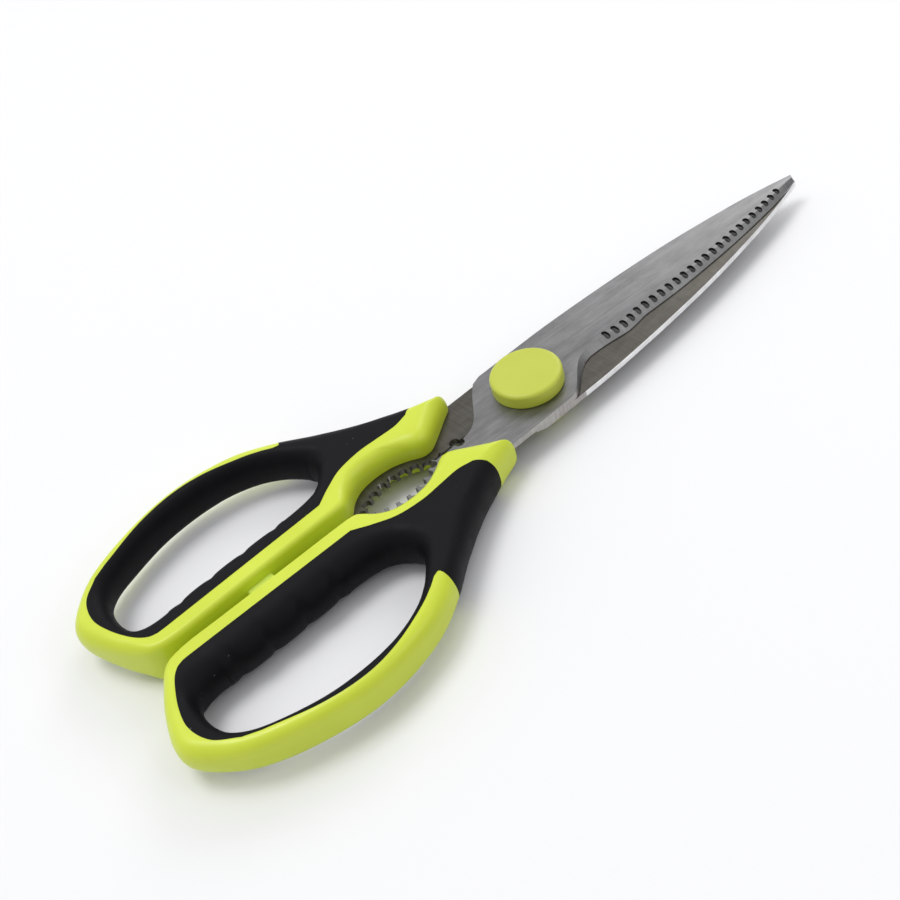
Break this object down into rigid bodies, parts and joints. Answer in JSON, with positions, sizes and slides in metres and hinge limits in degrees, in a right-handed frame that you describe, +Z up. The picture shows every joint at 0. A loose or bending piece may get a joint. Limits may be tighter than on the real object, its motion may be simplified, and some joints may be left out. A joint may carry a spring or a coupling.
{
  "type": "poultry shears",
  "caption": "Poultry shears with serrated steel blades crossing on a covered pivot, a toothed nut-cracker gap behind it, and two-colour moulded finger loops.",
  "frame": {"origin": "pivot axis where it meets the surface the shears lie on", "axes": "+X from the handles to the tip, +Y towards the handle of the lower blade, +Z up, along the pivot"},
  "size_m": [0.2259, 0.0892, 0.013],
  "materials": {
    "blade_steel": "brushed along the blade, bevel and edges ground across",
    "hardware_steel": "turned",
    "handle_plastic": "satin lime",
    "cap_plastic": "satin lime",
    "soft_grip": "soft-touch matt",
    "stop_pad_rubber": "satin pale lime"
  },
  "bodies": {
    "lower_arm": {"lower_blade": "blade_steel", "left_handle_shell": "handle_plastic", "left_handle_grip": "soft_grip", "handle_stop_pad": "stop_pad_rubber", "pivot_bolt": "hardware_steel", "pivot_washer": "hardware_steel", "pivot_nut": "hardware_steel", "pivot_cap_top": "cap_plastic", "pivot_cap_bottom": "cap_plastic"},
    "upper_arm": {"upper_blade": "blade_steel", "right_handle_shell": "handle_plastic", "right_handle_grip": "soft_grip"}
  },
  "joints": [
    {"name": "blade_pivot", "type": "hinge", "parent": "lower_arm", "child": "upper_arm", "pos_m": [0, 0, 0.0065], "axis": [0, 0, 1], "range_deg": [0, 60]}
  ]
}
